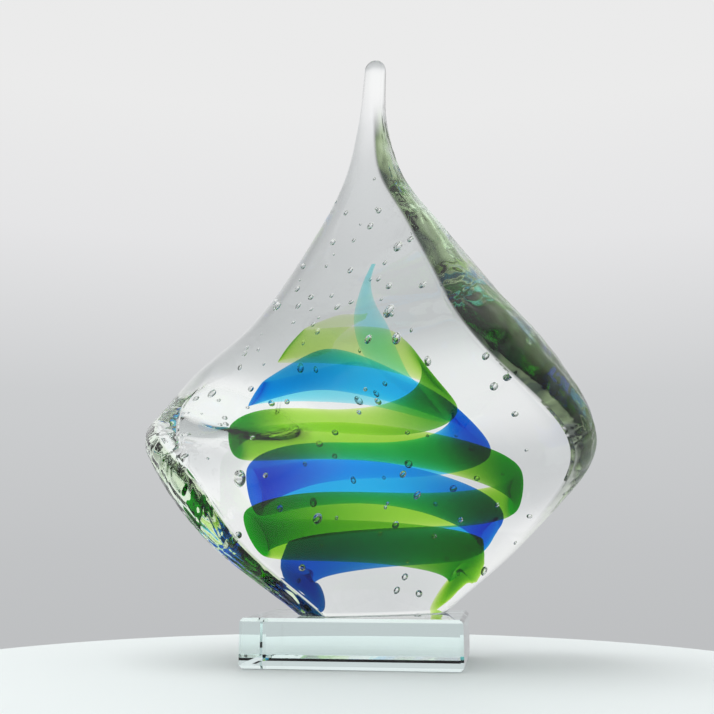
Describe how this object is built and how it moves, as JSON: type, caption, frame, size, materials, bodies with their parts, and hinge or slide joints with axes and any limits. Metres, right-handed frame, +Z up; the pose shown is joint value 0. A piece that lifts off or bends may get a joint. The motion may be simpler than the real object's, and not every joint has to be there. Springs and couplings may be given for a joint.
{
  "type": "glass wave sculpture",
  "caption": "Twisted clear glass flame with blue and green glass trails spiralling inside and scattered air bubbles, glued upright on a bevelled clear glass block.",
  "frame": {"origin": "centre of the base block's underside", "axes": "+Z up along the sculpture's height, X along the base block, -Y the front"},
  "size_m": [0.1811, 0.1156, 0.2435],
  "materials": {
    "clear_glass": "fire-polished clear soda glass with air bubbles",
    "blue_glass": "transparent cobalt to turquoise glass, sealed in clear glass",
    "green_glass": "transparent lime green glass, sealed in clear glass",
    "block_glass": "cut and polished clear block with a pale aqua tint",
    "clear_glue": "cured clear glue"
  },
  "bodies": {
    "root": {"clear_body": "clear_glass", "blue_trail": "blue_glass", "green_trail": "green_glass", "base_block": "block_glass", "glue_film": "clear_glue"}
  },
  "joints": []
}
